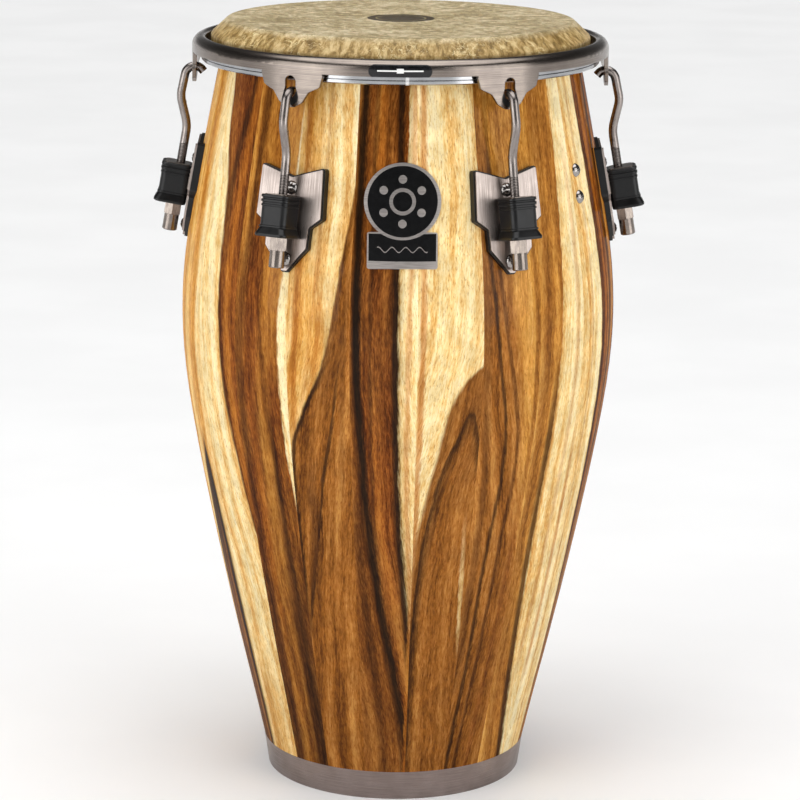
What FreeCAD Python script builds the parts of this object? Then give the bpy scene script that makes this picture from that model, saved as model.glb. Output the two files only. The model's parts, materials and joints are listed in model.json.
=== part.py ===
"""Conga drum: a barrel shell of glued staves with a natural skin head, tuned by six hooked rods.

Millimetres. +Z up, origin in the middle of the foot, the badge faces -Y.
Azimuths are in degrees, counted from the badge side about +Z.
"""
import FreeCAD, Part
import math
import os
from FreeCAD import Vector

# ---- driving dimensions: shell ----
STAVES = 21
FIRST_GLUE_LINE = 5.1        # azimuth of one glue line
WALL = 11.5                  # stave thickness, measured level
FOOT_R = 118.0               # shell's radius at the foot
# the outside of the barrel: (radius, height) of the points that its curve goes through
BARREL = [(FOOT_R, 0.0), (131.2, 60.0), (147.8, 130.0), (163.4, 200.0), (178.0, 270.0), (190.9, 340.0),
          (199.5, 408.0), (199.0, 480.0), (188.9, 550.0), (175.7, 620.0), (158.5, 711.0)]
SKIN = 2.0                   # skin thickness
DRUM_TOP = 711.0             # top of the head
SHELL_TOP = DRUM_TOP - SKIN
BEARING_ROUND = 3.0          # rounding of the bearing edge

# ---- foot band ----
BAND_TOP = 27.5
BAND_T = 2.0
BAND_R = (120.0, 123.9)      # outer radius at the bottom and at the top
BAND_LIP = 11.0              # width of the lip turned in under the staves

# ---- head ----
COLLAR_R = 171.3             # outside of the skin where it turns down behind the rim
COLLAR_Z = 697.0
COLLAR_BEND = 2.0            # inner radius of that turn
SKIN_END_Z = 675.0
SKIN_EASE = 0.1              # slack of the skin over the bearing edge
HOOP_IN, HOOP_OUT = 173.7, 182.0
HOOP_Z = (673.5, 681.6)
HOOP_GROOVE = 0.5            # depth of the groove round the hoop's outside
HOOP_CHAMFER = 1.0
RIM_OUT = 190.5
RIM_WALL = 3.3
RIM_IN = 178.0
RIM_LIP_T = 3.5              # thickness of the rim's inner flange
RIM_LOW = 681.6              # lower edge of the rim between the ears
RIM_SHOULDER = 687.0         # where the rim begins to roll over
RIM_ROLL = 9.0
RIM_INNER_ROLL = 3.5
RIM_TOP = RIM_SHOULDER + RIM_ROLL

# ---- ears of the rim, each with a keyhole slot ----
LUGS = 6
FIRST_LUG = 30.0             # azimuth of one lug
EAR_HALF, EAR_SHOULDER_Z = 29.0, 665.0
TONGUE_R, TONGUE_Z = 13.0, 664.5
EAR_FLARE_Z = 683.6          # where an ear flares out into the rim's wall
EAR_ROUND = 3.4
# corners of one side of an ear, from the rim down: (sideways, height)
EAR_SIDE = [(EAR_HALF + 3.0, EAR_FLARE_Z), (EAR_HALF - 1.0, EAR_SHOULDER_Z + 5.0),
            (TONGUE_R + 4.5, EAR_SHOULDER_Z), (TONGUE_R - 1.5, TONGUE_Z - 8.5),
            (4.0, TONGUE_Z - TONGUE_R)]
SLOT_HALF, SLOT_TOP = 5.3, 679.0
LOBE_R, LOBE_Z = 7.7, 661.2
SEAT_GAP = 1.2               # room between the hook and its seat, for the rod's slant as it travels

# ---- lug: a frame lies on the shell, t sideways, s up along the shell, n outwards ----
LUG_Z = 556.0
LUG_TILT = 10.0
GASKET_T = 3.5
PLATE_T = 2.0
PLATE_INSET = 1.3            # black edge of the gasket that shows round the plate
CHANNEL_HALF, CHANNEL_D = 7.5, 1.2
# half of the gasket's outline, (t, s)
LUG_OUTLINE = [(0.0, 34.5), (32.0, 44.0), (34.0, -1.5), (22.5, -10.0), (22.0, -28.0), (3.0, -50.0)]
CORNER_ROUND = 2.5
LUG_SCREWS = (24.2, -38.4)   # s of the two screws of a lug

# ---- tuning rod, saddle and nut ----
ROD_R = 4.0
ROD_N = 17.3                 # distance of the rod's axis from the shell
ROD_RUN = 0.05               # running clearance all round the rod
# bends of the rod above the saddle: (radius from the drum's axis, height, bend radius)
ROD_BENDS = [(180.4, 660.5, 0.0), (184.3, 665.2, 8.0), (195.9, 665.2, 9.6), (201.7, 638.0, 25.0)]
ROD_KNEE_S, ROD_KNEE_BEND = 52.8, 35.0
ROD_END_S = -35.6
SADDLE_S = (-19.0, 17.6)
SADDLE_N = (8.5, 31.1)
SADDLE_HALF = 11.0
SADDLE_ROUND = 3.5
NECK_HALF, NECK_S = 10.0, (-5.0, 15.0)
SLEEVE_HALF, SLEEVE_N = 13.0, (6.5, 33.1)
SLEEVE_ROUND = 5.5
SLEEVE_OPEN = 2.0            # the sleeve is open this far past both ends of the saddle
# the sleeve's ribs and flared skirt, from the top down: (s, how far it stands out)
SLEEVE_STEPS = [(17.0, 0.1), (16.4, 0.9), (14.6, 0.9), (14.0, 0.0), (12.9, 0.0), (12.4, 0.9), (10.6, 0.9),
                (10.1, 0.0), (8.6, 0.0), (8.2, 0.6), (7.0, 0.6), (6.6, 0.0), (-9.6, 0.0), (-10.1, 0.8),
                (-11.3, 0.8), (-11.8, 0.2), (-12.2, 0.4), (-17.4, 2.8), (-19.0, 2.8), (-19.8, 2.0)]
NUT_TOP_S, NUT_HEX_S, NUT_END_S = -19.1, -31.5, -46.6
NUT_FLATS, NUT_ROUND_R = 14.5, 6.85
NUT_CHAMFER = 0.8

# ---- screws ----
HEAD_R, HEAD_H = 6.2, 3.8
RECESS = (6.0, 1.2)          # length and width of each slot of the cross recess
SHANK_R = 3.0
HOLE_R = 3.1
SCREW_TAIL = 9.0             # how far a screw stands out inside the shell
WASHER_R, WASHER_T = 8.0, 1.5
WASHER_GAP = 0.7             # keeps the flat washer off the hollow wall's curve
NUT_M6_FLATS, NUT_M6_H = 10.0, 5.0
SIDE_AZ, SIDE_Z = 60.0, (587.0, 563.3)
SIDE_SEAT = 0.15             # the flat of a side screw's head clears the barrel's curve

# ---- badge and label ----
BADGE_AZ, BADGE_Z, BADGE_R, BADGE_T = 1.0, 572.9, 33.6, 1.3
NAMEPLATE_Z, NAMEPLATE_W, NAMEPLATE_H, NAMEPLATE_T = 531.0, 61.5, 32.0, 1.0
NAMEPLATE_ROUND = 2.0
LABEL_W, LABEL_H, LABEL_Z, LABEL_T = 55.0, 11.6, 686.6, 0.3

BIG = 400.0                  # reaches past the whole drum
HAIR = 0.01                  # keeps a cut or a rounding just short of an end
ORIGIN = Vector(0, 0, 0)
UP = Vector(0, 0, 1)
ACROSS = Vector(1, 0, 0)


def save(name, shape):
    shape.exportStep("parts/" + name + ".step")


def turned(shape, azimuth):
    """A copy of shape, turned about the drum's axis."""
    copy = shape.copy()
    copy.rotate(ORIGIN, UP, azimuth)
    return copy


def around(shape):
    """The six copies of a piece, one at each lug."""
    return [turned(shape, FIRST_LUG + i * 360.0 / LUGS) for i in range(LUGS)]


def level(r, z):
    """A point of a section through the drum's axis, on the +X side."""
    return Vector(r, 0, z)


def line(a, b):
    return Part.makeLine(a, b)


def arc(a, b, centre, radius):
    """The short arc from a to b."""
    middle = (a + b) * 0.5 - centre
    middle.normalize()
    return Part.Arc(a, centre + middle * radius, b).toShape()


def revolved(edges, degrees=360.0):
    return Part.Face(Part.Wire(edges)).revolve(ORIGIN, UP, degrees)


def barrel_curve(offset=0.0):
    """The barrel's outside as a curve, moved in or out by offset."""
    curve = Part.BSplineCurve()
    curve.interpolate([level(r + offset, z) for r, z in BARREL])
    return curve


def barrel_point(z, offset=0.0):
    """The point of the barrel's side at height z."""
    curve = barrel_curve(offset)
    cut = curve.intersectCC(Part.LineSegment(level(0, z), level(BIG, z)))
    return Vector(cut[0].X, cut[0].Y, cut[0].Z)


def barrel_edge(z_low, z_high, offset=0.0):
    curve = barrel_curve(offset)
    low = curve.parameter(barrel_point(z_low, offset))
    high = curve.parameter(barrel_point(z_high, offset))
    return curve.toShape(low, high)


def barrel_solid(offset=0.0):
    """Everything inside the barrel's side, as one closed form."""
    side = barrel_edge(BARREL[0][1] + HAIR, BARREL[-1][1] - HAIR, offset)
    low, high = side.Vertexes[0].Point, side.Vertexes[-1].Point
    foot, top = level(0, low.z), level(0, high.z)
    return revolved([line(foot, low), side, line(high, top), line(top, foot)])


def bent_path(points):
    """A wire of straight runs joined by tangent arcs. points holds (corner, bend radius)."""
    edges = []
    start = points[0][0]
    for i in range(1, len(points) - 1):
        before, corner, after = points[i - 1][0], points[i][0], points[i + 1][0]
        back, ahead = before - corner, after - corner
        back.normalize()
        ahead.normalize()
        half = back.getAngle(ahead) / 2
        reach = points[i][1] / math.tan(half)
        bisector = back + ahead
        bisector.normalize()
        centre = corner + bisector * (points[i][1] / math.sin(half))
        enter, leave = corner + back * reach, corner + ahead * reach
        edges.append(line(start, enter))
        edges.append(arc(enter, leave, centre, points[i][1]))
        start = leave
    edges.append(line(start, points[-1][0]))
    return edges


def rounded_outline(corners, radius, z=0.0):
    """A closed outline in the XY plane with every corner rounded."""
    first = (Vector(*corners[0], z) + Vector(*corners[-1], z)) * 0.5
    loop = [(first, 0.0)] + [(Vector(x, y, z), radius) for x, y in corners] + [(first, 0.0)]
    return Part.Wire(bent_path(loop))


def box_corners(x0, x1, y0, y1):
    return [(x0, y0), (x1, y0), (x1, y1), (x0, y1)]


def hexagon(flats, z, height):
    radius = flats / math.sqrt(3)
    corners = [Vector(radius * math.cos(a), radius * math.sin(a), z)
               for a in (math.radians(60 * i) for i in range(7))]
    return Part.Face(Part.makePolygon(corners)).extrude(Vector(0, 0, height))


# ---- the lug's own frame ----
def lug_origin(z=LUG_Z):
    return Vector(0, -barrel_point(z).x, z)


def on_shell(shape, z=LUG_Z):
    """Moves a shape from the (t, s, n) frame onto the shell at height z, at azimuth 0."""
    copy = shape.copy()
    copy.rotate(ORIGIN, ACROSS, 90 - LUG_TILT)
    copy.translate(lug_origin(z))
    return copy


def lug_point(s, n):
    """(radius, height) of a point of the lug's middle plane."""
    tilt = math.radians(LUG_TILT)
    radius = -lug_origin().y - s * math.sin(tilt) + n * math.cos(tilt)
    return radius, LUG_Z + s * math.cos(tilt) + n * math.sin(tilt)


def along_rod(shape):
    """Turns a shape made round +Z so that it lies along the rod, with z counted as s."""
    copy = shape.copy()
    copy.rotate(ORIGIN, ACROSS, -90)
    copy.translate(Vector(0, 0, ROD_N))
    return on_shell(copy)


# ---- shell ----
def stave_section():
    """Half section of the wall: seat for the foot band, barrel side, rounded bearing edge."""
    slope = (BAND_R[1] - BAND_R[0]) / BAND_TOP
    seat_low = level(BAND_R[0] - BAND_T + slope * BAND_T, BAND_T)
    seat_high = level(BAND_R[1] - BAND_T, BAND_TOP)
    side = barrel_edge(BAND_TOP, SHELL_TOP - BEARING_ROUND)
    side_low, side_high = side.Vertexes[0].Point, side.Vertexes[-1].Point
    inside = barrel_edge(BAND_T, SHELL_TOP, -WALL)
    inside_low, inside_high = inside.Vertexes[0].Point, inside.Vertexes[-1].Point
    crown = level(side_high.x - BEARING_ROUND, SHELL_TOP)
    centre = level(crown.x, side_high.z)
    return [line(seat_low, seat_high), line(seat_high, side_low), side,
            arc(side_high, crown, centre, BEARING_ROUND), line(crown, inside_high),
            inside, line(inside_low, seat_low)]


def screw_holes():
    """The holes of all screws that go through the wall, at their places."""
    hole = Part.makeCylinder(HOLE_R, 3 * WALL, Vector(0, 0, -2 * WALL))
    lug = []
    for s in LUG_SCREWS:
        moved = hole.copy()
        moved.translate(Vector(0, s, 0))
        lug += around(on_shell(moved))
    side = [turned(on_shell(hole, z), SIDE_AZ) for z in SIDE_Z]
    return Part.makeCompound(lug + side)


def staves():
    """One solid for each stave."""
    width = 360.0 / STAVES
    blank = revolved(stave_section(), width)
    holes = screw_holes()
    cut = []
    for i in range(STAVES):
        # the section lies at azimuth 90, where +X is
        stave = turned(blank, FIRST_GLUE_LINE - 90 + i * width)
        cut += stave.cut(holes).Solids
    return Part.makeCompound(cut)


def foot_band():
    low_out, high_out = level(BAND_R[0], 0), level(BAND_R[1], BAND_TOP)
    slope = (BAND_R[1] - BAND_R[0]) / BAND_TOP
    high_in = level(BAND_R[1] - BAND_T, BAND_TOP)
    low_in = level(BAND_R[0] - BAND_T + slope * BAND_T, BAND_T)
    lip_top = level(BAND_R[0] - BAND_LIP, BAND_T)
    lip_low = level(BAND_R[0] - BAND_LIP, 0)
    outline = [low_out, high_out, high_in, low_in, lip_top, lip_low, low_out]
    return revolved([line(a, b) for a, b in zip(outline, outline[1:])])


# ---- head ----
def skin():
    """The skin: flat over the bearing edge, sloping collar, skirt inside the hoop."""
    crown_r = barrel_point(SHELL_TOP - BEARING_ROUND).x - BEARING_ROUND + SKIN_EASE
    slope = math.atan2(DRUM_TOP - COLLAR_Z, COLLAR_R - crown_r)
    lap = math.tan(slope / 2)
    bend = math.tan(math.pi / 4 - slope / 2)
    outer = [(level(0, DRUM_TOP), 0.0),
             (level(crown_r + (BEARING_ROUND + SKIN) * lap, DRUM_TOP), BEARING_ROUND + SKIN),
             (level(COLLAR_R + SKIN, COLLAR_Z), COLLAR_BEND + SKIN),
             (level(COLLAR_R + SKIN, SKIN_END_Z), 0.0)]
    inner = [(level(COLLAR_R, SKIN_END_Z), 0.0),
             (level(COLLAR_R, COLLAR_Z - SKIN * bend), COLLAR_BEND),
             (level(crown_r + BEARING_ROUND * lap, SHELL_TOP), BEARING_ROUND),
             (level(0, SHELL_TOP), 0.0)]
    top, under = bent_path(outer), bent_path(inner)
    ends = [line(outer[-1][0], inner[0][0]), line(inner[-1][0], outer[0][0])]
    return revolved(top + [ends[0]] + under + [ends[1]])


def flesh_hoop():
    """The steel ring that the skin is lapped on, with a shallow groove round its outside."""
    low, high = HOOP_Z
    middle = (low + high) / 2
    outline = [(HOOP_IN, low), (HOOP_OUT - HOOP_CHAMFER, low), (HOOP_OUT, low + HOOP_CHAMFER),
               (HOOP_OUT, middle - HOOP_GROOVE),
               (HOOP_OUT - HOOP_GROOVE, middle), (HOOP_OUT, middle + HOOP_GROOVE),
               (HOOP_OUT, high - HOOP_CHAMFER), (HOOP_OUT - HOOP_CHAMFER, high), (HOOP_IN, high)]
    points = [level(r, z) for r, z in outline]
    return revolved([line(a, b) for a, b in zip(points, points[1:] + points[:1])])


def rim_crown(out):
    """The outside of the rim's section from its lower edge over the top, moved out by out."""
    low, shoulder = level(RIM_OUT + out, RIM_LOW), level(RIM_OUT + out, RIM_SHOULDER)
    centre = level(RIM_OUT - RIM_ROLL, RIM_SHOULDER)
    top = level(centre.x, RIM_TOP + out)
    return [line(low, shoulder), arc(shoulder, top, centre, RIM_ROLL + out)]


def rim_ring():
    """The rolled rim: outer wall, crown, and the flange that presses the hoop down."""
    crown = rim_crown(0)
    top = level(RIM_OUT - RIM_ROLL, RIM_TOP)
    inner_top = level(RIM_IN, RIM_TOP - RIM_INNER_ROLL)
    inner_centre = level(top.x, inner_top.z)
    flange_in, flange_out = level(RIM_IN, RIM_LOW), level(RIM_IN + RIM_LIP_T, RIM_LOW)
    roll = RIM_ROLL - RIM_WALL
    under = level(RIM_OUT - RIM_ROLL, RIM_SHOULDER + roll)
    wall = level(RIM_OUT - RIM_WALL, RIM_SHOULDER)
    wall_low = level(RIM_OUT - RIM_WALL, RIM_LOW)
    centre = level(RIM_OUT - RIM_ROLL, RIM_SHOULDER)
    edges = crown + [arc(top, inner_top, inner_centre, RIM_INNER_ROLL), line(inner_top, flange_in),
                     line(flange_in, flange_out), line(flange_out, under),
                     arc(under, wall, centre, roll), line(wall, wall_low),
                     line(wall_low, level(RIM_OUT, RIM_LOW))]
    return revolved(edges)


def ear_outline():
    """Shouldered outline that narrows to a round tongue, in (sideways, height)."""
    left = [(-x, z) for x, z in reversed(EAR_SIDE)]
    return rounded_outline(EAR_SIDE + left, EAR_ROUND)


def slot_outline():
    """Keyhole: a narrow round-topped slot that widens into a lobe below."""
    top = Vector(0, SLOT_TOP, 0)
    crown = Vector(SLOT_HALF, SLOT_TOP - SLOT_HALF, 0)
    waist = Vector(SLOT_HALF, LOBE_Z + LOBE_R, 0)
    lobe = Vector(LOBE_R, LOBE_Z, 0)
    foot = Vector(0, LOBE_Z - LOBE_R, 0)
    mirror = [Vector(-p.x, p.y, 0) for p in (crown, waist, lobe)]
    top_centre, lobe_centre = Vector(0, crown.y, 0), Vector(0, LOBE_Z, 0)
    return Part.Wire([arc(top, crown, top_centre, SLOT_HALF), line(crown, waist), line(waist, lobe),
                      arc(lobe, foot, lobe_centre, LOBE_R), arc(foot, mirror[2], lobe_centre, LOBE_R),
                      line(mirror[2], mirror[1]), line(mirror[1], mirror[0]),
                      arc(mirror[0], top, top_centre, SLOT_HALF)])


def upright(wire):
    """Stands an outline drawn in (sideways, height) up on the badge side and extrudes it outwards."""
    prism = Part.Face(wire).extrude(Vector(0, 0, BIG))
    prism.rotate(ORIGIN, ACROSS, 90)
    return prism


def wall_ring(z_low, z_high):
    """The rim's outer wall carried down past the ears."""
    height = z_high - z_low
    outer = Part.makeCylinder(RIM_OUT, height, Vector(0, 0, z_low))
    return outer.cut(Part.makeCylinder(RIM_OUT - RIM_WALL, height, Vector(0, 0, z_low)))


def rim():
    """Rim and its six slotted ears, one pressing."""
    ring = wall_ring(TONGUE_Z - TONGUE_R - 1, RIM_SHOULDER)
    ear = ring.common(upright(ear_outline()))
    slot = upright(slot_outline())
    whole = rim_ring().fuse(around(ear))
    return whole.cut(around(slot)).removeSplitter()


def hook_seats():
    """Six moulded seats, one in the wide lobe of each slot, under the hook."""
    lobe = wall_ring(LOBE_Z - LOBE_R - 1, ROD_BENDS[1][1]).common(upright(slot_outline()))
    groove = Part.makeCylinder(ROD_R + SEAT_GAP, BIG, Vector(0, 0, ROD_BENDS[1][1]), Vector(0, -1, 0))
    return Part.makeCompound([s for seat in around(lobe.cut(groove)) for s in seat.Solids])


def rim_label():
    """A plain capsule label on the front of the rim."""
    radius = LABEL_H / 2 - HAIR
    corners = box_corners(-LABEL_W / 2, LABEL_W / 2, LABEL_Z - LABEL_H / 2, LABEL_Z + LABEL_H / 2)
    inner, outer = rim_crown(0), rim_crown(LABEL_T)
    ends = [line(level(RIM_OUT, RIM_LOW), level(RIM_OUT + LABEL_T, RIM_LOW)),
            line(level(RIM_OUT - RIM_ROLL, RIM_TOP), level(RIM_OUT - RIM_ROLL, RIM_TOP + LABEL_T))]
    coat = revolved(inner + ends + outer)
    return coat.common(upright(rounded_outline(corners, radius))).Solids[0]


# ---- lugs ----
def lug_prism(inset, n_low, n_high):
    """The lug's outline, inset from the gasket's edge, as a plate from n_low to n_high."""
    mirror = [(-t, s) for t, s in reversed(LUG_OUTLINE) if t > 0]
    wire = rounded_outline(LUG_OUTLINE + mirror, CORNER_ROUND, n_low)
    face = Part.Face(wire)
    if inset:
        face = face.makeOffset2D(-inset)
    return face.extrude(Vector(0, 0, n_high - n_low))


def channel(half, n_low, n_high):
    """A straight block down the middle of the lug."""
    return Part.makeBox(2 * half, 4 * LUG_OUTLINE[1][1], n_high - n_low,
                        Vector(-half, -2 * LUG_OUTLINE[1][1], n_low))


def lug_holes():
    holes = [Part.makeCylinder(HOLE_R, 4 * WALL, Vector(0, s, -2 * WALL)) for s in LUG_SCREWS]
    return Part.makeCompound(holes)


def lug_plate():
    """Pressed steel plate: two brushed wings and a shallow channel for the screws."""
    wings = lug_prism(PLATE_INSET, GASKET_T - CHANNEL_D, GASKET_T + PLATE_T)
    under = [channel(BIG, GASKET_T - CHANNEL_D, GASKET_T).cut(channel(CHANNEL_HALF, 0, BIG))]
    over = channel(CHANNEL_HALF - PLATE_T / 2, GASKET_T + PLATE_T - CHANNEL_D, BIG)
    return on_shell(wings.cut(under + [over, lug_holes()]))


def lug_gasket(barrel):
    """Rubber pad between plate and shell, moulded to the barrel's curve."""
    pad = lug_prism(0, -WALL, GASKET_T)
    trough = channel(CHANNEL_HALF, GASKET_T - CHANNEL_D, BIG)
    return on_shell(pad.cut([trough, lug_holes()])).cut(barrel)


def saddle_body(grow_s=0.0):
    """Metal block that the rod goes through, with the neck that joins it to the plate."""
    low, high = SADDLE_S[0] - grow_s, SADDLE_S[1] + grow_s
    corners = box_corners(-SADDLE_HALF, SADDLE_HALF, -SADDLE_N[1], -SADDLE_N[0])
    block = Part.Face(rounded_outline(corners, SADDLE_ROUND, low)).extrude(Vector(0, 0, high - low))
    block.rotate(ORIGIN, ACROSS, -90)
    top = GASKET_T + PLATE_T
    neck = Part.makeBox(2 * NECK_HALF, NECK_S[1] - NECK_S[0], SADDLE_N[0] + SADDLE_ROUND - top,
                        Vector(-NECK_HALF, NECK_S[0], top))
    return block.fuse(neck)


def saddle():
    bore = Part.makeCylinder(ROD_R + ROD_RUN, BIG, Vector(0, -BIG / 2, ROD_N), Vector(0, 1, 0))
    return on_shell(saddle_body().cut(bore).removeSplitter())


def sleeve():
    """Rubber sleeve over the saddle, ribbed above and flared below."""
    rings = []
    for s, out in SLEEVE_STEPS:
        half = SLEEVE_HALF + out
        corners = box_corners(-half, half, -SLEEVE_N[1] - out, -SLEEVE_N[0])
        rings.append(rounded_outline(corners, SLEEVE_ROUND, s))
    body = Part.makeLoft(rings, True, True)
    body.rotate(ORIGIN, ACROSS, -90)
    return on_shell(body.cut(saddle_body(SLEEVE_OPEN)))


def rod_path():
    """The rod's centre line from hook to tail, at azimuth 0."""
    bends = [(Vector(0, -r, z), bend) for r, z, bend in ROD_BENDS]
    knee, tail = lug_point(ROD_KNEE_S, ROD_N), lug_point(ROD_END_S, ROD_N)
    bends.append((Vector(0, -knee[0], knee[1]), ROD_KNEE_BEND))
    bends.append((Vector(0, -tail[0], tail[1]), 0.0))
    return Part.Wire(bent_path(bends))


def rod():
    path = rod_path()
    start = path.OrderedVertexes[0].Point
    heading = path.OrderedVertexes[1].Point - start
    circle = Part.Wire(Part.makeCircle(ROD_R, start, heading))
    return path.makePipeShell([circle], True, False)


def tuning_nut():
    """Long nut: hexagon against the saddle, round barrel below, bored through."""
    length = NUT_TOP_S - NUT_END_S
    hexagonal = hexagon(NUT_FLATS, NUT_HEX_S, NUT_TOP_S - NUT_HEX_S)
    corner_r = NUT_FLATS / math.sqrt(3)
    cone = Part.makeCone(corner_r - NUT_CHAMFER + length, corner_r - NUT_CHAMFER, length,
                         Vector(0, 0, NUT_END_S))
    flip = Part.makeCone(corner_r - NUT_CHAMFER, corner_r - NUT_CHAMFER + length, length,
                         Vector(0, 0, NUT_HEX_S))
    barrel = Part.makeCylinder(NUT_ROUND_R, NUT_HEX_S - NUT_END_S, Vector(0, 0, NUT_END_S))
    barrel = barrel.makeChamfer(NUT_CHAMFER, [barrel.Edges[2]])
    body = hexagonal.common(cone).common(flip).fuse(barrel)
    bore = Part.makeCylinder(ROD_R + ROD_RUN, length, Vector(0, 0, NUT_END_S))
    return along_rod(body.cut(bore))


# ---- screws ----
def dome_screw(seat_n):
    """Domed screw whose head sits at n = seat_n, and whose tail stands out inside the shell."""
    dome = (HEAD_R ** 2 + HEAD_H ** 2) / (2 * HEAD_H)
    ball = Part.makeSphere(dome, Vector(0, 0, seat_n + HEAD_H - dome))
    head = ball.common(Part.makeCylinder(HEAD_R, HEAD_H, Vector(0, 0, seat_n)))
    depth = WALL + SCREW_TAIL + seat_n
    shank = Part.makeCylinder(SHANK_R, depth, Vector(0, 0, seat_n - depth))
    cross = [Part.makeBox(w, d, HEAD_H, Vector(-w / 2, -d / 2, seat_n + HEAD_H / 2))
             for w, d in (RECESS, reversed(RECESS))]
    return head.fuse(shank).cut(cross)


def washer():
    low = -WALL - WASHER_GAP - WASHER_T
    disc = Part.makeCylinder(WASHER_R, WASHER_T, Vector(0, 0, low))
    return disc.cut(Part.makeCylinder(HOLE_R, WASHER_T, Vector(0, 0, low)))


def inner_nut():
    low = -WALL - WASHER_GAP - WASHER_T - NUT_M6_H
    body = hexagon(NUT_M6_FLATS, low, NUT_M6_H)
    return body.cut(Part.makeCylinder(SHANK_R, NUT_M6_H, Vector(0, 0, low)))


def at_lug_screws(shape):
    """Twelve copies, two at each lug."""
    copies = []
    for s in LUG_SCREWS:
        moved = shape.copy()
        moved.translate(Vector(0, s, 0))
        copies += around(on_shell(moved))
    return Part.makeCompound(copies)


def at_side_screws(shape):
    return Part.makeCompound([turned(on_shell(shape, z), SIDE_AZ) for z in SIDE_Z])


# ---- badge ----
def coat_on_shell(thickness, barrel):
    return barrel_solid(thickness).cut(barrel)


def badge_pieces(barrel):
    """Round badge and the nameplate notched to fit under it, both bent to the barrel."""
    disc_tool = Part.makeCylinder(BADGE_R, 2 * WALL, Vector(0, 0, -WALL))
    disc_tool = on_shell(disc_tool, BADGE_Z)
    half_w, half_h = NAMEPLATE_W / 2, NAMEPLATE_H / 2
    outline = rounded_outline(box_corners(-half_w, half_w, -half_h, half_h), NAMEPLATE_ROUND, -3 * WALL)
    plate_tool = on_shell(Part.Face(outline).extrude(Vector(0, 0, 4 * WALL)), NAMEPLATE_Z)
    badge = coat_on_shell(BADGE_T, barrel).common(disc_tool).Solids[0]
    wide = coat_on_shell(NAMEPLATE_T, barrel).common(plate_tool)
    nameplate = wide.cut(disc_tool).Solids[0]
    return turned(badge, BADGE_AZ), turned(nameplate, BADGE_AZ)


def main():
    os.makedirs("parts", exist_ok=True)
    barrel = barrel_solid()
    save("staves", staves())
    save("foot_band", foot_band())
    save("skin_head", skin())
    save("flesh_hoop", flesh_hoop())
    save("rim", rim())
    save("rim_label", rim_label())
    save("hook_seats", hook_seats())
    for name, shape in (("lug_plate", lug_plate()), ("lug_gasket", lug_gasket(barrel)),
                        ("saddle", saddle()), ("sleeve", sleeve()),
                        ("tuning_rod", rod()), ("tuning_nut", tuning_nut())):
        for number, copy in enumerate(around(shape), start=1):
            save(name + "_" + str(number), copy)
    save("lug_screws", at_lug_screws(dome_screw(GASKET_T + PLATE_T - CHANNEL_D)))
    save("lug_washers", at_lug_screws(washer()))
    save("lug_screw_nuts", at_lug_screws(inner_nut()))
    save("side_screws", at_side_screws(dome_screw(SIDE_SEAT)))
    save("side_washers", at_side_screws(washer()))
    save("side_screw_nuts", at_side_screws(inner_nut()))
    badge, nameplate = badge_pieces(barrel)
    save("badge", badge)
    save("nameplate", nameplate)


main()
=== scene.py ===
"""Looks of the conga drum: lacquered staves, rawhide head, satin nickel hardware and black rubber.

Metres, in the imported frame: +Z up, the middle of the foot at the origin, the badge faces -Y.
Pattern sizes are given in millimetres. Azimuths are counted from the badge about +Z, in degrees.
"""

import bpy
import json
import math
import random
from mathutils import Matrix, Vector


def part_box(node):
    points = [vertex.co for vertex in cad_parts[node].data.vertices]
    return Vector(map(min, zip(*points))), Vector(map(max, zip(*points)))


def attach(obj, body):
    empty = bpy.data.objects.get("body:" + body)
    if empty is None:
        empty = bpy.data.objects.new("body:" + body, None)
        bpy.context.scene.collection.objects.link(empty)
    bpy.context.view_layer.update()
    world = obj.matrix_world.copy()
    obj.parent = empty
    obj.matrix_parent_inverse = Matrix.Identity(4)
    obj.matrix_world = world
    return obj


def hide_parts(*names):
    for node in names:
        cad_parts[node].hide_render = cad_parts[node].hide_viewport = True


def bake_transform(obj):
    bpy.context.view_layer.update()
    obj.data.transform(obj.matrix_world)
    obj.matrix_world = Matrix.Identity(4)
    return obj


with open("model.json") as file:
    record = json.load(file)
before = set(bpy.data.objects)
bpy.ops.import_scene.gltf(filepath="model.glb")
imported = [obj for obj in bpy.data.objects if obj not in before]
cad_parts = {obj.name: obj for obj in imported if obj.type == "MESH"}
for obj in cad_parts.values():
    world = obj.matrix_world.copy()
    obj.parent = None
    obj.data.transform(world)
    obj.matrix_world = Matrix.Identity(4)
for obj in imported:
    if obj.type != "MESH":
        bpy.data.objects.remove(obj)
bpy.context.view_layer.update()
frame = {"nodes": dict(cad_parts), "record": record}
NODES = frame["nodes"]
SLOTS = {part["node"]: part["material_slot"] for part in frame["record"]["subparts"]}
JOINTS = {joint["name"]: joint for joint in frame["record"]["behaviour"]["joints"]}

MM = 0.001
DRUM_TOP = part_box("skin_head")[1].z
STAVES = 21
STAVE_ANGLE = math.tau / STAVES
FIRST_GLUE_LINE = math.radians(5.1)
LUGS = 6
CLEAR_COAT_IOR = 1.5
SMOOTH_ANGLE = math.radians(35.0)


# ---- small helpers ----
def paint(code):
    """A colour written as sRGB hex, as linear light."""
    channels = [int(code[i:i + 2], 16) / 255 for i in (1, 3, 5)]
    return [c / 12.92 if c <= 0.04045 else ((c + 0.055) / 1.055) ** 2.4 for c in channels] + [1.0]


def add(tree, kind, inputs=None, **settings):
    """Adds a node. inputs maps a socket's name or number to a value, a socket, or a node's first output."""
    node = tree.nodes.new("ShaderNode" + kind)
    for name, value in settings.items():
        setattr(node, name, value)
    for key, value in (inputs or {}).items():
        if isinstance(value, bpy.types.Node):
            value = value.outputs[0]
        if isinstance(value, bpy.types.NodeSocket):
            tree.links.new(value, node.inputs[key])
        else:
            node.inputs[key].default_value = value
    return node


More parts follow.
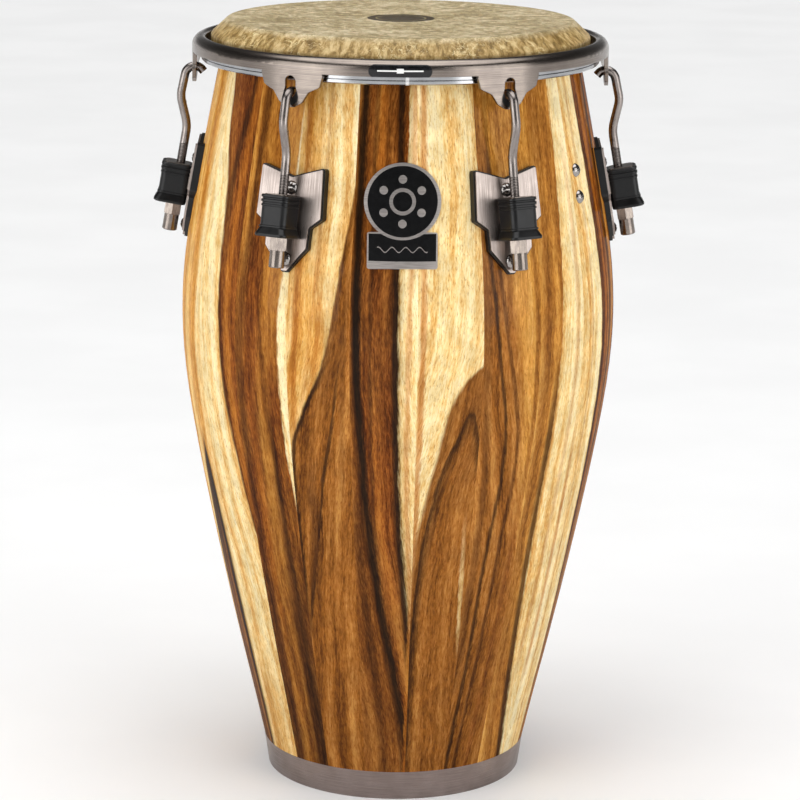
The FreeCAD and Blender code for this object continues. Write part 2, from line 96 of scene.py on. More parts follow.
def start_material(name, **shader):
    """A new material with a Principled shader whose uniform values are given by socket name."""
    material = bpy.data.materials.new(name)
    material.use_nodes = True
    tree = material.node_tree
    tree.nodes.clear()
    surface = add(tree, "BsdfPrincipled", {key.replace("_", " "): value for key, value in shader.items()})
    add(tree, "OutputMaterial", {"Surface": surface})
    return material, tree, surface


def connect(tree, surface, **sockets):
    """Links nodes to the shader's sockets."""
    for key, source in sockets.items():
        output = source.outputs[0] if isinstance(source, bpy.types.Node) else source
        tree.links.new(output, surface.inputs[key.replace("_", " ")])


def ramp(tree, value, stops):
    """A colour ramp on value. stops holds (position, hex colour)."""
    node = add(tree, "ValToRGB", {"Fac": value})
    while len(node.color_ramp.elements) < len(stops):
        node.color_ramp.elements.new(1.0)
    for element, (position, code) in zip(node.color_ramp.elements, stops):
        element.position = position
        element.color = paint(code)
    return node


def ease(tree, value, low, high, to_low=0.0, to_high=1.0):
    """value carried smoothly from low..high to to_low..to_high."""
    return add(tree, "MapRange", {"Value": value, "From Min": low, "From Max": high, "To Min": to_low,
                                  "To Max": to_high}, interpolation_type="SMOOTHSTEP")


def mix(tree, factor, below, above, blend="MIX"):
    """Two colours mixed by factor, or blended another way."""
    return add(tree, "MixRGB", {"Fac": factor, "Color1": below, "Color2": above}, blend_type=blend)


def calc(tree, operation, *values):
    """A sum on numbers, sockets or nodes."""
    return add(tree, "Math", dict(enumerate(values)), operation=operation)


def noise(tree, place, size, **texture):
    """Even noise: size is one cloud's size in mm."""
    return add(tree, "TexNoise", {"Vector": place, "Scale": 1 / (size * MM), **texture})


def from_axis(tree, place):
    """Distance from the drum's upright axis."""
    level = add(tree, "VectorMath", {0: place, 1: (1.0, 1.0, 0.0)}, operation="MULTIPLY")
    return add(tree, "VectorMath", {0: level}, operation="LENGTH").outputs["Value"]


def azimuth(tree, split):
    """Angle about the drum's axis from the side that faces -Y."""
    inward = calc(tree, "MULTIPLY", split.outputs["Y"], -1.0)
    return calc(tree, "ARCTAN2", split.outputs["X"], inward)


def piece_from(name, vertices, faces, material):
    """A mesh piece, smooth except at its sharp edges."""
    mesh = bpy.data.meshes.new(name)
    mesh.from_pydata(vertices, [], faces)
    mesh.validate()
    mesh.shade_smooth()
    mesh.set_sharp_from_angle(angle=SMOOTH_ANGLE)
    mesh.materials.append(material)
    piece = bpy.data.objects.new(name, mesh)
    bpy.context.scene.collection.objects.link(piece)
    return piece


# ---- wood ----
# Two-tone hardwood, sawn into staves, sanded and sprayed with clear gloss lacquer: pale sapwood, brown
# heartwood and near-black growth lines. Each tone is a ramp that the fibres' streaks run through, so that
# even a plain patch shows its fibres.
TONES = {
    "cream": [(0.0, "#d39448"), (0.25, "#eabe74"), (0.55, "#f7dc9f"), (1.0, "#ffefc2")],
    "tan": [(0.0, "#b8742a"), (0.4, "#dca04c"), (0.8, "#edc074"), (1.0, "#f5d48e")],
    "orange": [(0.0, "#8e4a16"), (0.5, "#bc7024"), (1.0, "#d8923e")],
    "honey": [(0.0, "#8c5420"), (0.35, "#bf8034"), (0.7, "#d79b4a"), (1.0, "#e6b466")],
    "golden": [(0.0, "#663812"), (0.35, "#9c6024"), (0.7, "#bd7f34"), (1.0, "#d39848")],
    "brown": [(0.0, "#4e2a0e"), (0.35, "#7e491b"), (0.7, "#a0662c"), (1.0, "#bd823e")],
    "red": [(0.0, "#371a08"), (0.35, "#673410"), (0.7, "#93521e"), (1.0, "#b8742e")],
    "fawn": [(0.0, "#5a3110"), (0.35, "#93591f"), (0.7, "#b07233"), (1.0, "#cb9048")],
    "umber": [(0.0, "#2a1608"), (0.4, "#4c2a10"), (0.75, "#683c18"), (1.0, "#845024")],
    "dark": [(0.0, "#1a1008"), (0.5, "#2e1c0d"), (1.0, "#4c2e14")],
}

# Each kind of streak: its size in mm across and along the fibres, its detail and roughness, and a number
# that keeps it apart from the others.
STREAKS = {
    "bends": (90.0, 110.0, 2.0, 0.5, 5.5),      # slow bends of the growth lines
    "broad": (11.0, 420.0, 2.5, 0.5, 0.0),      # bands of fibres as long as the plank
    "fine": (2.4, 34.0, 4.0, 0.7, 9.1),
    "short": (1.2, 7.0, 2.0, 0.6, 4.4),
    "ragged": (2.2, 26.0, 3.0, 0.65, 3.3),      # frays the edges of zones and growth lines
    "patches": (30.0, 260.0, 2.0, 0.5, 2.2),    # slow changes of tone
    "pores": (0.9, 5.5, 2.0, 0.7, 7.7),         # drawn twice their real width, so that they show
    "shimmer": (16.0, 22.0, 3.0, 0.5, 1.9),     # interlocked fibres, painted as a sheen that is bright and dull in short bands
}
TOP = 711                    # mm, the height of the drum, where the paths end
BENDS_REACH = 14.0           # mm that the bends carry a growth line, from one extreme to the other
FRAY_RAGGED = 5.0            # mm that the ragged streaks move an edge
FRAY_SHORT = 2.4             # mm that the short ones move it
EDGE_MERGE = 8.0             # mm over which the two edges of a zone run into one another
VEIN_CORE, VEIN_GONE = 0.15, 0.75      # shares of its width where a growth line is full and where it ends
END_RISE, END_FALL = 30, 50            # mm over which it fades at its lower and upper end
PAINTED_FOOT_SHADE_TOP = 420.0                 # mm up to which painted shade darkens a stave's foot
PORE_STAIN = "#b07c48"


def vein(tone, width, strength, path, ends=None):
    """One growth line along a path: its width in mm, its strength, and the heights where it fades out."""
    return dict(tone=tone, width=width, strength=strength, path=path, ends=ends)


def zone(tone, soft, left=None, right=None, outline=0.0, band=4.0):
    """A tone right of the left path and left of the right one. soft is its edge's width in mm, outline the
    strength of the dark line inside the edge, and band that line's width in mm."""
    edges = [(sign, path) for sign, path in ((1.0, left), (-1.0, right)) if path]
    return dict(tone=tone, soft=soft, edges=edges, outline=outline, band=band)


# Each front stave: its ground tone and the second tone that its patches drift to, how dark the painted
# shade at its foot is (1 for none), the run that its fibres follow, then the layers painted over the ground
# in turn. A path holds (height in mm, place across the stave, 0 at its left glue line and 1 at its right).
FRONT_GRAIN = {
    -1: dict(
        ground="red", second="brown",
        run=[(0, 1.2), (60, 0.98), (100, 0.81), (150, 0.6), (200, 0.42), (250, 0.31), (300, 0.2),
             (400, 0.12), (TOP, 0.11)],
        layers=[
            zone("brown", 3.0, right=[(0, 1.3), (60, 0.99), (100, 0.81), (150, 0.6), (200, 0.42),
                 (250, 0.31), (300, 0.2), (400, 0.12), (TOP, 0.1)]),
            vein("umber", 8.0, 0.6, [(0, 0.5), (100, 0.35), (200, 0.15), (300, 0.05)], ends=(0, 300)),
            vein("orange", 9.0, 0.5, [(560, 0.4), (TOP, 0.42)], ends=(580, TOP)),
            zone("cream", 2.0, left=[(0, 1.2), (120, 1.05), (160, 0.97), (220, 0.85), (300, 0.75),
                 (400, 0.71), (520, 0.73), (600, 0.84), (TOP, 0.9)], outline=0.3),
            vein("dark", 8.0, 1.0, [(0, 1.2), (60, 0.99), (100, 0.82), (150, 0.62), (200, 0.43),
                 (250, 0.31), (300, 0.21), (350, 0.17), (400, 0.12), (500, 0.09), (TOP, 0.13)]),
            vein("dark", 7.0, 0.95, [(100, 1.1), (160, 0.96), (220, 0.84), (300, 0.72), (400, 0.68),
                 (520, 0.68), (600, 0.72), (TOP, 0.76)]),
            vein("dark", 4.0, 0.5, [(0, 1.0), (100, 0.72), (160, 0.5), (220, 0.4), (300, 0.34), (450, 0.3),
                 (TOP, 0.34)]),
            vein("orange", 5.0, 0.6, [(200, 1.0), (300, 0.88), (400, 0.86), (520, 0.9), (TOP, 1.0)]),
        ]),
    0: dict(
        ground="cream", painted_foot_shade=0.82,
        run=[(0, -0.1), (130, 0.0), (231, 0.05), (293, 0.2), (345, 0.38), (392, 0.58), (440, 0.74),
             (520, 0.86), (TOP, 0.9)],
        layers=[
            vein("orange", 6.0, 0.75, [(300, 0.02), (400, 0.06), (500, 0.09), (600, 0.1), (TOP, 0.12)]),
            zone("fawn", 6.0, left=[(0, -0.2), (140, -0.06), (231, 0.0), (269, 0.06), (293, 0.15),
                 (321, 0.25), (345, 0.34), (373, 0.43), (392, 0.53), (411, 0.7), (420, 0.85), (430, 1.05),
                 (450, 1.4), (TOP, 1.6)], outline=0.3, band=5.0),
            vein("umber", 22.0, 0.55, [(330, 0.72), (360, 0.8), (395, 0.9)], ends=(350, 400)),
            zone("fawn", 2.5, left=[(0, -0.1), (200, 0.04), (231, 0.09), (269, 0.16), (293, 0.26),
                 (321, 0.36), (340, 0.47), (363, 0.64), (380, 0.76), (398, 0.94), (420, 1.5), (TOP, 1.6)],
                 right=[(0, 1.4), (320, 1.12), (350, 1.02), (375, 0.94), (395, 0.8), (420, 0.3),
                 (TOP, 0.0)], outline=0.9),
            vein("umber", 4.0, 0.5, [(200, 0.2), (293, 0.38), (340, 0.62), (372, 0.86)], ends=(250, 372)),
            vein("umber", 20.0, 0.4, [(280, 0.6), (330, 0.76), (360, 0.86)], ends=(315, 365)),
            vein("cream", 4.0, 0.7, [(150, 1.0), (180, 0.95), (240, 0.9), (270, 0.88)], ends=(165, 250)),
        ]),
    1: dict(
        ground="honey", second="golden", painted_foot_shade=0.8,
        run=[(0, 0.0), (60, 0.1), (150, 0.3), (200, 0.42), (280, 0.4), (330, 0.25), (430, 0.06),
             (TOP, 0.0)],
        layers=[
            zone("fawn", 16.0, right=[(0, 1.7), (150, 1.3), (231, 1.05), (300, 0.88), (400, 0.7),
                 (505, 0.46), (580, 0.22), (650, 0.05), (TOP, 0.0)]),
            vein("dark", 4.0, 0.8, [(0, 0.0), (60, 0.1), (150, 0.26), (231, 0.32), (293, 0.42), (328, 0.47),
                 (363, 0.44), (430, 0.28), (520, 0.14), (620, 0.05)], ends=(0, 560)),
            vein("umber", 4.5, 0.8, [(0, 0.2), (100, 0.4), (200, 0.55), (269, 0.62), (316, 0.69),
                 (354, 0.69), (387, 0.6), (470, 0.36), (600, 0.2)], ends=(0, 640)),
            vein("red", 5.0, 0.6, [(0, 0.55), (150, 0.78), (300, 0.92), (420, 0.95),
                 (520, 0.92)], ends=(0, 560)),
            vein("umber", 8.0, 0.6, [(0, -0.04), (200, 0.1), (300, 0.16), (400, 0.08),
                 (500, 0.06)], ends=(120, 540)),
        ]),
    2: dict(
        ground="honey", second="golden",
        run=[(0, 0.87), (50, 0.74), (100, 0.57), (150, 0.46), (250, 0.38), (350, 0.39), (450, 0.46),
             (600, 0.6), (TOP, 0.72)],
        layers=[
            vein("brown", 12.0, 0.6, [(0, 0.3), (250, 0.05), (400, 0.12), (TOP, 0.2)]),
            zone("cream", 2.5, left=[(0, 0.88), (50, 0.74), (100, 0.57), (150, 0.46), (200, 0.39),
                 (250, 0.37), (350, 0.39), (450, 0.46), (500, 0.5), (600, 0.61), (TOP, 0.72)]),
            vein("dark", 8.0, 0.8, [(0, 0.82), (50, 0.69), (100, 0.51), (150, 0.4), (200, 0.33),
                 (250, 0.31), (350, 0.34), (420, 0.4)], ends=(0, 400)),
            vein("orange", 6.0, 0.45, [(150, 0.72), (300, 0.8), (450, 0.85), (TOP, 0.9)], ends=(120, 600)),
        ]),
    3: dict(
        ground="cream",
        run=[(0, 1.0), (150, 0.9), (250, 0.81), (350, 0.73), (500, 0.64), (TOP, 0.52)],
        layers=[
            vein("orange", 6.0, 0.7, [(0, 0.05), (200, 0.1), (300, 0.06), (TOP, 0.0)], ends=(110, 340)),
            vein("orange", 4.0, 0.4, [(0, 0.5), (300, 0.36), (500, 0.3), (TOP, 0.24)]),
            zone("red", 2.0, left=[(0, 1.02), (60, 0.95), (150, 0.9), (250, 0.81), (350, 0.73), (400, 0.7),
                 (500, 0.64), (600, 0.58), (TOP, 0.52)], outline=0.5),
            vein("orange", 8.0, 0.6, [(250, 1.0), (400, 0.9), (550, 0.84), (TOP, 0.8)]),
        ]),
    4: dict(
        ground="golden", second="red",
        run=[(0, 0.2), (300, 0.35), (TOP, 0.6)],
        layers=[
            zone("honey", 6.0, left=[(0, 0.5), (300, 0.62), (TOP, 0.9)]),
            vein("umber", 9.0, 0.7, [(0, 0.05), (300, 0.1), (TOP, 0.25)]),
        ]),
    -2: dict(
        ground="cream", second="tan",
        run=[(0, -0.1), (200, 0.15), (270, 0.33), (330, 0.46), (392, 0.6), (450, 0.7), (520, 0.78),
             (TOP, 0.8)],
        layers=[
            vein("orange", 6.0, 0.55, [(330, 0.06), (420, 0.12), (550, 0.14), (TOP, 0.12)]),
            vein("orange", 3.5, 0.4, [(380, 0.22), (480, 0.42), (600, 0.5), (TOP, 0.52)]),
            zone("fawn", 3.0, left=[(0, -0.4), (240, -0.05), (330, 0.0), (354, 0.05), (370, 0.16),
                 (392, 0.31), (415, 0.5), (439, 0.63), (462, 0.7), (481, 0.75), (505, 0.8), (560, 0.95),
                 (620, 1.1), (TOP, 1.4)], outline=0.5, band=3.0),
            vein("dark", 5.0, 0.8, [(0, 0.0), (240, 0.0), (330, 0.02), (354, 0.07), (370, 0.18),
                 (392, 0.33), (415, 0.52), (439, 0.65)], ends=(190, 440)),
            vein("dark", 3.5, 0.8, [(150, -0.05), (231, 0.23), (269, 0.38), (293, 0.455), (328, 0.55),
                 (363, 0.68), (404, 0.78), (480, 0.92)], ends=(170, 420)),
            vein("umber", 11.0, 0.75, [(180, 0.08), (245, 0.27), (281, 0.34), (305, 0.31),
                 (340, 0.36)], ends=(210, 335)),
            vein("umber", 14.0, 0.55, [(380, 0.4), (400, 0.56), (425, 0.72)], ends=(400, 440)),
            vein("umber", 5.0, 0.4, [(300, 0.85), (400, 0.88), (520, 0.97)], ends=(300, 520)),
        ]),
    -3: dict(
        ground="red", second="golden", painted_foot_shade=0.78,
        run=[(0, 1.0), (60, 0.9), (150, 0.76), (250, 0.6), (350, 0.46), (500, 0.36), (TOP, 0.3)],
        layers=[
            zone("cream", 3.0, left=[(0, 1.6), (260, 1.1), (300, 0.98), (350, 0.9), (400, 0.86),
                 (470, 0.84), (520, 0.9), (600, 0.97), (TOP, 1.05)]),
            # umber heartwood over the whole lower stave, partly painted shade towards the foot
            vein("umber", 110.0, 0.85, [(0, 0.5), (300, 0.5)], ends=(-60, 220)),
            vein("umber", 18.0, 0.8, [(0, 0.9), (60, 0.84), (150, 0.74), (250, 0.62), (330, 0.54),
                 (420, 0.44)], ends=(0, 400)),
            vein("dark", 6.0, 0.6, [(60, 0.95), (150, 0.84), (250, 0.74), (330, 0.66),
                 (420, 0.54)], ends=(30, 400)),
            vein("umber", 8.0, 0.6, [(0, 0.15), (300, 0.1), (450, 0.12), (TOP, 0.25)]),
            vein("orange", 7.0, 0.5, [(0, 0.45), (150, 0.34), (300, 0.3)], ends=(60, 330)),
            vein("golden", 14.0, 0.8, [(300, 0.5), (500, 0.62), (TOP, 0.74)]),
        ]),
    -4: dict(
        ground="cream",
        run=[(0, 1.6), (240, 1.05), (300, 0.86), (350, 0.74), (400, 0.65), (500, 0.55), (560, 0.47),
             (620, 0.23), (TOP, 0.0)],
        layers=[
            vein("tan", 40.0, 0.7, [(0, 0.5), (120, 0.4), (200, 0.3)], ends=(-40, 110)),
            zone("red", 4.0, left=[(0, 1.8), (240, 1.06), (270, 0.95), (300, 0.86), (350, 0.74),
                 (400, 0.65), (450, 0.59), (500, 0.55), (560, 0.47), (620, 0.23), (665, 0.1),
                 (TOP, -0.1)], outline=0.3, band=7.0),
            vein("dark", 8.0, 0.7, [(540, 0.6), (580, 0.58), (620, 0.66), (660, 0.8),
                 (TOP, 0.85)], ends=(540, 690)),
            vein("orange", 9.0, 0.6, [(250, 1.1), (350, 0.9), (450, 0.8), (600, 0.84),
                 (TOP, 1.0)], ends=(270, TOP)),
        ]),
    -5: dict(
        ground="tan",
        run=[(0, 0.5), (300, 0.55), (TOP, 0.5)],
        layers=[
            vein("cream", 14.0, 0.8, [(200, 0.95), (400, 0.92), (TOP, 0.88)]),
            vein("orange", 7.0, 0.5, [(300, 0.5), (450, 0.55), (TOP, 0.45)]),
            zone("dark", 10.0, left=[(0, 0.0), (100, 0.1), (200, 0.2), (250, 0.3), (300, 0.44), (330, 0.6),
                 (380, 1.0), (TOP, 1.5)],
                 right=[(0, 0.86), (60, 0.9), (150, 0.92), (200, 0.9), (250, 0.85), (300, 0.75),
                 (330, 0.63), (380, 0.2), (TOP, 0.0)]),
            vein("umber", 26.0, 0.9, [(0, 0.42), (200, 0.55), (330, 0.63)], ends=(-60, 210)),
            vein("brown", 7.0, 0.7, [(0, 0.6), (200, 0.66), (330, 0.66)], ends=(-60, 240)),
        ]),
    -6: dict(
        ground="tan",
        run=[(0, 0.4), (TOP, 0.6)],
        layers=[
            vein("brown", 14.0, 0.7, [(0, 0.3), (TOP, 0.5)]),
        ]),
}


def other_grain(number):
    """Grain for a stave round the back: a drifting edge between sapwood and heartwood, and two veins."""
    draw = random.Random(number)
    sap, heart = draw.choice(("cream", "tan")), draw.choice(("brown", "red", "golden"))
    if draw.random() < 0.5:
        sap, heart = heart, sap
    low, middle, high = (draw.uniform(-0.2, 1.3) for _ in range(3))
    edge = [(0, low), (draw.uniform(180, 320), middle), (draw.uniform(420, 560), (middle + high) / 2),
            (TOP, high)]
    layers = [zone(heart, draw.uniform(2, 5), left=edge, outline=draw.uniform(0.3, 0.8))]
    for tone in ("dark", "orange"):
        shift = draw.uniform(-0.35, 0.35)
        path = [(z, across + shift) for z, across in edge]
        layers.append(vein(tone, draw.uniform(3, 8), draw.uniform(0.3, 0.7), path))
    return dict(ground=sap, run=edge, layers=layers)


def stave_place(tree, middle):
    """Sockets of a stave's own coordinates: place across (0 to 1), height in mm and width in mm."""
    place = add(tree, "TexCoord").outputs["Object"]
    turned = add(tree, "VectorRotate", {"Vector": place, "Angle": -middle}, rotation_type="Z_AXIS")
    split = add(tree, "SeparateXYZ", {0: turned})
    across = calc(tree, "MULTIPLY_ADD", azimuth(tree, split), 1 / STAVE_ANGLE, 0.5)
    height = calc(tree, "MULTIPLY", split.outputs["Z"], 1 / MM)
    width = calc(tree, "MULTIPLY", from_axis(tree, turned), STAVE_ANGLE / MM)
    return across, height, width


PATH_SPAN = 4.0              # a path's curve holds places from -1.5 to 2.5 of the stave's width
PATH_MIDDLE = 0.5


def beside(tree, place, points):
    """Distance in mm to the right of a path that climbs the stave."""
    across, height, width = place
    top = DRUM_TOP / MM
    share = calc(tree, "DIVIDE", height, top)
    curve = add(tree, "FloatCurve", {"Value": share})
    points = [(z / top, 0.5 + (u - PATH_MIDDLE) / PATH_SPAN) for z, u in points]
    line = curve.mapping.curves[0]
    while len(line.points) < len(points):
        line.points.new(0.5, 0.5)
    for knot, spot in zip(line.points, sorted(points)):
        knot.location = spot
    curve.mapping.extend = "HORIZONTAL"
    curve.mapping.update()
    centred = calc(tree, "SUBTRACT", curve, 0.5)
    path = calc(tree, "MULTIPLY_ADD", centred, PATH_SPAN, PATH_MIDDLE)
    gap = calc(tree, "SUBTRACT", across, path)
    return calc(tree, "MULTIPLY", gap, width)


def streaks(tree, drift, height, kind, seed):
    """Noise drawn out along the fibres, of a kind listed in STREAKS."""
    across, along, detail, roughness, apart = STREAKS[kind]
    spot = add(tree, "CombineXYZ", {"X": drift, "Y": height, "Z": seed + apart})
    scaled = add(tree, "VectorMath", {0: spot, 1: (1 / across, 1 / along, 1.0)}, operation="MULTIPLY")
    return add(tree, "TexNoise", {"Vector": scaled, "Scale": 1.0, "Detail": detail, "Roughness": roughness})


def vein_mask(tree, place, fray, layer):
    """The strength of a growth line near its path and between its ends, 0 elsewhere."""
    gap = calc(tree, "ADD", beside(tree, place, layer["path"]), fray)
    off = calc(tree, "ABSOLUTE", gap)
    width = layer["width"]
    mask = ease(tree, off, VEIN_CORE * width, VEIN_GONE * width, layer["strength"], 0.0)
    if layer["ends"]:
        low, high = layer["ends"]
        rise = ease(tree, place[1], low - END_RISE, low + END_RISE)
        fall = ease(tree, place[1], high - END_FALL, high + END_FALL, 1.0, 0.0)
        mask = calc(tree, "MULTIPLY", mask, calc(tree, "MULTIPLY", rise, fall))
    return mask


def zone_depth(tree, place, fray, layer):
    """Distance in mm into a zone from its nearer edge."""
    gaps = []
    for sign, path in layer["edges"]:
        gap = beside(tree, place, path)
        gaps.append(gap if sign > 0 else calc(tree, "MULTIPLY", gap, sign))
    depth = gaps[0]
    if len(gaps) == 2:
        depth = calc(tree, "SMOOTH_MIN", gaps[0], gaps[1], EDGE_MERGE)
    return calc(tree, "ADD", depth, fray)


def stave_wood(name, middle, grain, seed):
    """Sapwood and heartwood under clear gloss lacquer: bright reflections over soft, streaky colour."""
    material, tree, surface = start_material(name, Specular_IOR_Level=0.0, Coat_Weight=0.16,
                                             Coat_Roughness=0.05, Coat_IOR=CLEAR_COAT_IOR)
    place = stave_place(tree, middle)
    height = place[1]
    bends = streaks(tree, place[2], height, "bends", seed)
    drift = calc(tree, "MULTIPLY_ADD", bends, BENDS_REACH, beside(tree, place, grain["run"]))
    broad, fine, short, ragged, patches, pores, shimmer = (
        streaks(tree, drift, height, kind, seed)
        for kind in ("broad", "fine", "short", "ragged", "patches", "pores", "shimmer"))
    blend = calc(tree, "MULTIPLY_ADD", fine, 0.6, broad)
    blend = calc(tree, "MULTIPLY_ADD", short, 0.6, blend)
    fibre = ease(tree, blend, 0.74, 1.46)
    fray = calc(tree, "MULTIPLY_ADD", ragged, FRAY_RAGGED, -(FRAY_RAGGED + FRAY_SHORT) / 2)
    fray = calc(tree, "MULTIPLY_ADD", short, FRAY_SHORT, fray)

    layers = grain["layers"]
    ground, second = grain["ground"], grain.get("second", grain["ground"])
    used = {ground, second} | {layer["tone"] for layer in layers}
    used |= {"dark" for layer in layers if layer.get("outline")}
    tones = {key: ramp(tree, fibre, TONES[key]) for key in sorted(used)}
    colour = mix(tree, ease(tree, patches, 0.42, 0.62), tones[ground], tones[second])
    for layer in layers:
        if "path" in layer:
            mask = vein_mask(tree, place, fray, layer)
            colour = mix(tree, mask, colour, tones[layer["tone"]])
            continue
        depth = zone_depth(tree, place, fray, layer)
        begin = ease(tree, depth, -0.4 * layer["soft"], 0.4 * layer["soft"])
        colour = mix(tree, begin, colour, tones[layer["tone"]])
        if layer["outline"]:
            fade = ease(tree, depth, 0.5, 2.5 * layer["band"], layer["outline"], 0.0)
            colour = mix(tree, calc(tree, "MULTIPLY", begin, fade), colour, tones["dark"])

    colour = mix(tree, ease(tree, pores, 0.54, 0.70, 0.0, 0.62), colour, paint(PORE_STAIN), "MULTIPLY")
    # the shimmer lights and dulls the colour as a painted sheen, and painted shade darkens the foot a
    # little
    painted_sheen = ease(tree, shimmer, 0.35, 0.65, 0.88, 1.06)
    foot = ease(tree, height, 0.0, PAINTED_FOOT_SHADE_TOP, grain.get("painted_foot_shade", 0.9), 1.0)
    colour = mix(tree, 1.0, colour, calc(tree, "MULTIPLY", painted_sheen, foot), "MULTIPLY")
    roll = add(tree, "Bump", {"Height": pores, "Strength": 0.12, "Distance": 0.05 * MM})
    rough = ease(tree, fibre, 0.0, 1.0, 0.50, 0.36)
    connect(tree, surface, Base_Color=colour, Normal=roll, Roughness=rough)
    return material


def make_staves():
    """Each stave as a piece of its own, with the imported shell's surface and shading."""
    shell = NODES["staves"].data
    corners = [corner.vector.copy() for corner in shell.corner_normals]
    groups = [[] for _ in range(STAVES)]
    for face in shell.polygons:
        turn = math.atan2(face.center.x, -face.center.y) - FIRST_GLUE_LINE
        inside = (turn / STAVE_ANGLE) % STAVES
        groups[int(inside)].append(face)
    pieces = []
    for index, faces in enumerate(groups):
        number = index if index <= STAVES // 2 else index - STAVES
        used = sorted({v for face in faces for v in face.vertices})
        order = {v: place for place, v in enumerate(used)}
        middle = FIRST_GLUE_LINE + (number + 0.5) * STAVE_ANGLE
        grain = FRONT_GRAIN.get(number) or other_grain(number)
        wood = stave_wood("lacquered_stave_%02d" % (index + 1), middle, grain, 3.17 * index)
        mesh = bpy.data.meshes.new("stave_%02d" % (index + 1))
        mesh.from_pydata([shell.vertices[v].co for v in used], [],
                         [[order[v] for v in face.vertices] for face in faces])
        mesh.materials.append(wood)
        mesh.shade_smooth()
        mesh.normals_split_custom_set([corners[c] for face in faces for c in face.loop_indices])
        piece = bpy.data.objects.new(mesh.name, mesh)
        bpy.context.scene.collection.objects.link(piece)
        pieces.append(piece)
    for piece in pieces:
        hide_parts("staves")
        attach(piece, "shell")


# ---- head ----
SKIN_THICK = 2.0 * MM
COLLAR_Z = 697.0 * MM        # where the skin turns down behind the rim
CROWN_ROUND = 5.0 * MM       # rounding of the skin over the bearing edge
COLLAR_ROUND = 4.0 * MM
HEAD_SEGMENTS = 240
FILLET_STEPS = 6
SECTION_STEP = 4.0 * MM
COLLAR_BEGINS, COLLAR_FULL = 158.0 * MM, 164.0 * MM      # radii between which top turns to collar
CREASE_RADIUS = 173.0 * MM                               # where the creases are at their real width
CREASE_WIDE, CREASE_TALL = 7.0 * MM, 14.0 * MM
STAMP_RADIUS, STAMP_EDGE = 32.2 * MM, 0.4 * MM
STAMP_RING, STAMP_LINE = 22.5 * MM, 0.9 * MM


def filleted(corners):
    """Points of a path through (radius, height, rounding) corners, each turn a true arc."""
    points = [Vector(corners[0][:2])]
    for before, corner, after in zip(corners, corners[1:], corners[2:]):
        here = Vector(corner[:2])
        back, ahead = (Vector(before[:2]) - here).normalized(), (Vector(after[:2]) - here).normalized()
        half = back.angle(ahead) / 2
        centre = here + (back + ahead).normalized() * corner[2] / math.sin(half)
        reach = corner[2] / math.tan(half)
        start, end = here + back * reach - centre, here + ahead * reach - centre
        for i in range(FILLET_STEPS + 1):
            points.append(centre + start.lerp(end, i / FILLET_STEPS).normalized() * corner[2])
    return points + [Vector(corners[-1][:2])]


def head_section():
    """Outline of the skin from the middle of its top round to the middle of its underside."""
    low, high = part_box("skin_head")
    top = [v.co for v in NODES["skin_head"].data.vertices if v.co.z > high.z - 0.01 * MM]
    crown = max(math.hypot(co.x, co.y) for co in top)
    slope = math.atan2(high.z - COLLAR_Z, high.x - crown)
    lap = math.tan(slope / 2)
    outer = [(0.0, high.z, 0.0), (crown + CROWN_ROUND * lap, high.z, CROWN_ROUND),
             (high.x, COLLAR_Z, COLLAR_ROUND), (high.x, low.z, 0.0)]
    inner_round = CROWN_ROUND - SKIN_THICK
    bend = math.tan(math.pi / 4 - slope / 2)
    inner = [(high.x - SKIN_THICK, low.z, 0.0),
             (high.x - SKIN_THICK, COLLAR_Z - SKIN_THICK * bend, COLLAR_ROUND - SKIN_THICK),
             (crown + inner_round * lap, high.z - SKIN_THICK, inner_round),
             (0.0, high.z - SKIN_THICK, 0.0)]
    return spaced(filleted(outer)) + spaced(filleted(inner))


def spaced(points):
    """The same path with its long runs divided."""
    result = [points[0]]
    for a, b in zip(points, points[1:]):
        count = max(1, math.ceil((b - a).length / SECTION_STEP))
        result += [a.lerp(b, i / count) for i in range(1, count + 1)]
    return result


